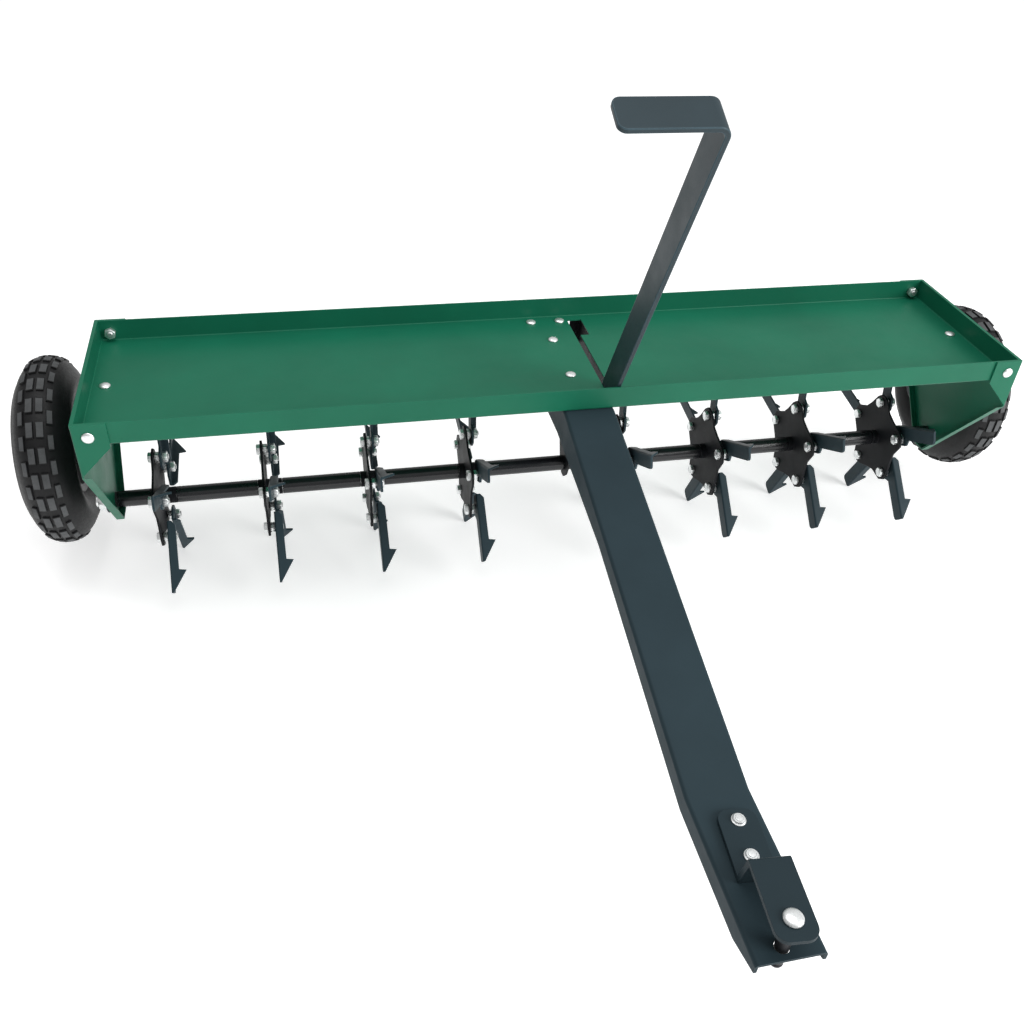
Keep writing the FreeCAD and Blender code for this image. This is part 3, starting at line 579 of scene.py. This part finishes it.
# ---------------------------------------------------------------- wheels
def tyre(side):
    """Carcass of revolution with a moulded side ring and four rows of tread blocks."""
    lo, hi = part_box("tire_" + side)
    c = (lo + hi) / 2
    outer = (hi.z - lo.z) / 2
    half = (hi.x - lo.x) / 2
    ring_r = outer - half          # centre circle of the section
    body_r = half - 2.6 * MM       # groove floor
    place = Matrix.Translation(c) @ Matrix.Rotation(math.pi / 2, 4, "Y")
    bm = bmesh.new()
    steps = 180
    profile = []
    bead_r, bead_x = 51.0 * MM, 21.0 * MM
    profile += [(bead_r, -bead_x), (bead_r + 5 * MM, -bead_x - 1 * MM),
                (bead_r + 9 * MM, -bead_x - 3.6 * MM)]
    for k in range(41):
        a = math.radians(-142 + 284 * k / 40)
        side_a = abs(math.degrees(a))
        r = body_r
        if side_a > 70:
            r = body_r + (half - body_r) * min(1.0, (side_a - 70) / 15.0)
        if 88 < side_a < 96:
            r += 0.5 * MM
        profile.append((ring_r + r * math.cos(a), r * math.sin(a)))
    profile += [(bead_r + 9 * MM, bead_x + 3.6 * MM), (bead_r + 5 * MM, bead_x + 1 * MM),
                (bead_r, bead_x)]
    inner = [(bead_r, bead_x - 6 * MM), (ring_r - 18 * MM, 22 * MM), (ring_r, 27 * MM),
             (outer - 14 * MM, 12 * MM), (outer - 12 * MM, 0.0), (outer - 14 * MM, -12 * MM),
             (ring_r, -27 * MM), (ring_r - 18 * MM, -22 * MM), (bead_r, -bead_x + 6 * MM)]
    lathe(bm, profile + inner, place, steps, 0, closed=True)

    def block(theta, dtheta, phi0, phi1, low, high, taper=0.86):
        """One tread block between two section angles, raised from low to high."""
        cells = []
        for r, k in ((low, 1.0), (high - 0.5 * MM, 0.97), (high, taper)):
            mid_t, mid_p = theta, (phi0 + phi1) / 2
            row = []
            for st, sp in ((-1, -1), (1, -1), (1, 1), (-1, 1)):
                t = mid_t + st * dtheta * k
                p = mid_p + sp * (phi1 - phi0) / 2 * k
                x, rad = r * math.sin(p), ring_r + r * math.cos(p)
                row.append(bm.verts.new(place @ Vector((rad * math.cos(t), rad * math.sin(t), x))))
            cells.append(row)
        for a, b in zip(cells[:-1], cells[1:]):
            for k in range(4):
                bm.faces.new((a[k], a[(k + 1) % 4], b[(k + 1) % 4], b[k])).material_index = 0
        bm.faces.new(cells[-1]).material_index = 1
        bm.faces.new(cells[0][::-1]).material_index = 0

    step = 2 * math.pi / TREAD_PITCHES
    rad = math.radians
    for k in range(TREAD_PITCHES):
        t = k * step
        for sp in (-1, 1):
            lohi = sorted((sp * rad(2.6), sp * rad(17.5)))
            block(t, step * 0.33, *lohi, body_r - 1 * MM, half)
            lohi = sorted((sp * rad(23.0), sp * rad(35.0)))
            block(t + step / 2, step * 0.31, *lohi, body_r - 1 * MM, half)
    return bm


def rim(side):
    """Stamped rim: rolled lips and a stepped disc without vents."""
    lo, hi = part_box("rim_" + side)
    c = (lo + hi) / 2
    place = Matrix.Translation(c) @ Matrix.Rotation(math.pi / 2, 4, "Y")
    bm = bmesh.new()
    profile = [(19.5, 2.2), (24.0, 2.2), (26.0, 3.4), (39.5, 3.4), (41.5, 4.2), (43.5, 7.0),
               (46.0, 12.0), (48.3, 21.0), (49.6, 23.2), (56.5, 24.2), (59.0, 24.9), (60.0, 24.0),
               (60.0, 22.4), (58.0, 22.0), (51.0, 21.6), (50.6, 20.0), (50.6, 8.0), (48.0, 3.0),
               (48.0, -3.0), (50.6, -8.0), (50.6, -20.0), (51.0, -21.6), (58.0, -22.0),
               (60.0, -22.4), (60.0, -24.0), (59.0, -24.9), (56.5, -24.2), (49.6, -23.2),
               (48.3, -21.0), (46.0, -12.0), (43.5, -7.0), (41.5, -4.2), (39.5, -3.4),
               (26.0, -3.4), (24.0, -2.2), (19.5, -2.2)]
    lathe(bm, [(r * MM, x * MM) for r, x in profile], place, 96, 0, closed=True)
    return bm


def rim_hardware(side):
    """Clamp bolts of the split rim, seen on both faces of the disc."""
    lo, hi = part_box("rim_" + side)
    c = (lo + hi) / 2
    sign = 1 if side == "right" else -1
    bm = bmesh.new()
    for k in range(4):
        a = math.radians(90 * k + 45)
        at = Vector((c.x, c.y + 33.0 * MM * math.cos(a), c.z + 33.0 * MM * math.sin(a)))
        out = axis_place(at, (sign, 0, 0))
        back = axis_place(at, (-sign, 0, 0))
        lathe(bm, [(0.0, 3.3 * MM), (6.2 * MM, 3.3 * MM), (6.2 * MM, 3.9 * MM), (0.0, 3.9 * MM)],
              out, 32)
        hex_block(bm, 10.0 * MM, 3.9 * MM, 8.0 * MM, out, spin=a)
        hex_block(bm, 10.0 * MM, 3.3 * MM, 8.3 * MM, back, both=True, spin=a)
        thread_end(bm, 2.9 * MM, 8.1 * MM, 11.0 * MM, back)
    return bm


def hub(side):
    """Hub barrel with shields over its two ball bearings."""
    lo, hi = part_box("hub_" + side)
    c = (lo + hi) / 2
    half = (hi.x - lo.x) / 2
    place = Matrix.Translation(c) @ Matrix.Rotation(math.pi / 2, 4, "Y")
    bm = bmesh.new()
    bore = 8.06 * MM
    edge = half - 8 * MM
    profile = [(bore, -half), (11.0 * MM, -half), (11.3 * MM, -half + 0.6 * MM),
               (16.2 * MM, -half + 0.9 * MM), (16.4 * MM, -half + 0.1 * MM),
               (17.1 * MM, -half + 0.1 * MM), (17.5 * MM, -half + 0.6 * MM),
               (17.5 * MM, -edge), (19.3 * MM, -edge), (20.0 * MM, -edge + 0.8 * MM)]
    mirrored = [(r, -x) for r, x in profile[::-1]]
    lathe(bm, profile + mirrored, place, 64, 0, closed=True)
    return bm


def valve(side):
    """Short rubber valve with a ridged cap, on the outer face."""
    lo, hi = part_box("rim_" + side)
    c = (lo + hi) / 2
    sign = 1 if side == "right" else -1
    a = math.radians(18)
    at = Vector((c.x, c.y + 45.0 * MM * math.cos(a), c.z + 45.0 * MM * math.sin(a)))
    out = axis_place(at + Vector((sign * 6 * MM, 0, 0)),
                     Vector((sign * 1.0, -0.28 * math.cos(a), -0.28 * math.sin(a))))
    bm = bmesh.new()
    lathe(bm, [(0.0, 0.0), (5.2 * MM, 0.0), (5.4 * MM, 2.0 * MM), (4.0 * MM, 5.0 * MM),
               (3.6 * MM, 14.0 * MM), (3.0 * MM, 15.0 * MM), (2.6 * MM, 15.0 * MM),
               (2.6 * MM, 16.0 * MM)], out, 28, 0)
    cap = [(2.6 * MM, 15.6 * MM), (3.5 * MM, 15.6 * MM)]
    for k in range(5):
        cap += [(3.7 * MM, (16.0 + k) * MM), (3.45 * MM, (16.5 + k) * MM)]
    cap += [(3.5 * MM, 21.2 * MM), (2.7 * MM, 21.9 * MM), (0.0, 22.0 * MM)]
    lathe(bm, cap, out, 28, 0)
    return bm


for side in ("left", "right"):
    body = "wheel_" + side
    add_piece("tire_%s_tread" % side, tyre(side), body, ["tyre", "tread_top"],
              ("tire_" + side,), 30.0)
    add_piece("rim_%s_stamped" % side, rim(side), body, ["rim_paint"],
              ("rim_" + side,), 28.0)
    add_piece("rim_%s_bolts" % side, rim_hardware(side), body, ["zinc", "thread"])
    add_piece("hub_%s_bearings" % side, hub(side), body, ["bearing_steel"],
              ("hub_" + side,))
    add_piece("valve_" + side, valve(side), body, ["tyre"])


# ---------------------------------------------------------------- stage
def floor():
    """Plain pale floor that gives off a little light of its own."""
    bm = bmesh.new()
    size, n = FLOOR_SIZE, 8
    grid = [[bm.verts.new((-size / 2 + size * i / n, -size / 2 + size * j / n, 0.0))
             for j in range(n + 1)] for i in range(n + 1)]
    for i in range(n):
        for j in range(n):
            bm.faces.new((grid[i][j], grid[i + 1][j], grid[i + 1][j + 1], grid[i][j + 1]))
    mesh = bpy.data.meshes.new("floor")
    bm.to_mesh(mesh)
    bm.free()
    mat, nodes, links, bsdf = new_material("floor_white", (FLOOR_TONE,) * 3, 0.9)
    bsdf.inputs["Emission Color"].default_value = (1.0, 1.0, 1.0, 1.0)
    bsdf.inputs["Emission Strength"].default_value = FLOOR_GLOW
    tone = noise(nodes, links, 1.5, 3.0)
    links.new(ramp(nodes, links, tone, 0.855, 0.865), bsdf.inputs["Base Color"])
    mesh.materials.append(mat)
    obj = bpy.data.objects.new("floor", mesh)
    bpy.context.scene.collection.objects.link(obj)


def area_light(name, at, target, size, power):
    data = bpy.data.lights.new(name, "AREA")
    data.shape = "RECTANGLE"
    data.size, data.size_y = size
    data.energy = power
    obj = bpy.data.objects.new(name, data)
    bpy.context.scene.collection.objects.link(obj)
    obj.location = at
    obj.rotation_euler = (Vector(target) - Vector(at)).to_track_quat("-Z", "Y").to_euler()


def world():
    """Soft surround: brighter towards the top and towards the right."""
    w = bpy.data.worlds.new("studio")
    w.use_nodes = True
    nodes, links = w.node_tree.nodes, w.node_tree.links
    back = nodes["Background"]
    back.inputs["Strength"].default_value = WORLD_POWER
    coord = nodes.new("ShaderNodeTexCoord")
    split = nodes.new("ShaderNodeSeparateXYZ")
    links.new(coord.outputs["Generated"], split.inputs["Vector"])
    sky = ramp(nodes, links, split.outputs["Z"], 0.45, 1.0, 0.0, 0.75)
    sideways = nodes.new("ShaderNodeMapRange")
    sideways.inputs["From Min"].default_value = -1.0
    sideways.inputs["To Min"].default_value = 0.6
    sideways.inputs["To Max"].default_value = 1.25
    links.new(split.outputs["X"], sideways.inputs["Value"])
    mix = nodes.new("ShaderNodeMix")
    mix.data_type = "RGBA"
    mix.blend_type = "MULTIPLY"
    mix.inputs["Factor"].default_value = 1.0
    links.new(sky, mix.inputs[6])
    links.new(sideways.outputs["Result"], mix.inputs[7])
    links.new(mix.outputs[2], back.inputs["Color"])
    bpy.context.scene.world = w


def camera():
    """Wide product-shot camera: above the hitch, turned and tipped towards the tray."""
    yaw, pitch, roll = (math.radians(a) for a in (CAMERA_YAW, CAMERA_PITCH, CAMERA_ROLL))
    tray_lo, tray_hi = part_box("tray")
    corner = Vector((0.0, tray_lo.y, tray_hi.z))
    data = bpy.data.cameras.new("camera")
    data.lens, data.sensor_width = LENS, SENSOR
    obj = bpy.data.objects.new("camera", data)
    bpy.context.scene.collection.objects.link(obj)
    forward = Vector((math.sin(yaw) * math.cos(pitch), math.cos(yaw) * math.cos(pitch),
                      -math.sin(pitch)))
    level = Vector((math.cos(yaw), -math.sin(yaw), 0.0))
    down = forward.cross(level)
    right = level * math.cos(roll) + down * math.sin(roll)
    below = -level * math.sin(roll) + down * math.cos(roll)
    rot = Matrix((right, -below, -forward)).transposed().to_4x4()
    obj.matrix_world = Matrix.Translation(corner + Vector(CAMERA_FROM_TRAY)) @ rot
    bpy.context.scene.camera = obj


floor()
world()
camera()
area_light("key", (2.4, -1.9, 1.7), (0.2, 0.1, 0.2), (1.8, 1.6), 85.0)
area_light("top", (-0.2, 0.1, 2.9), (0.0, 0.3, 0.2), (2.4, 1.4), 30.0)
bpy.context.scene.view_settings.view_transform = "Standard"
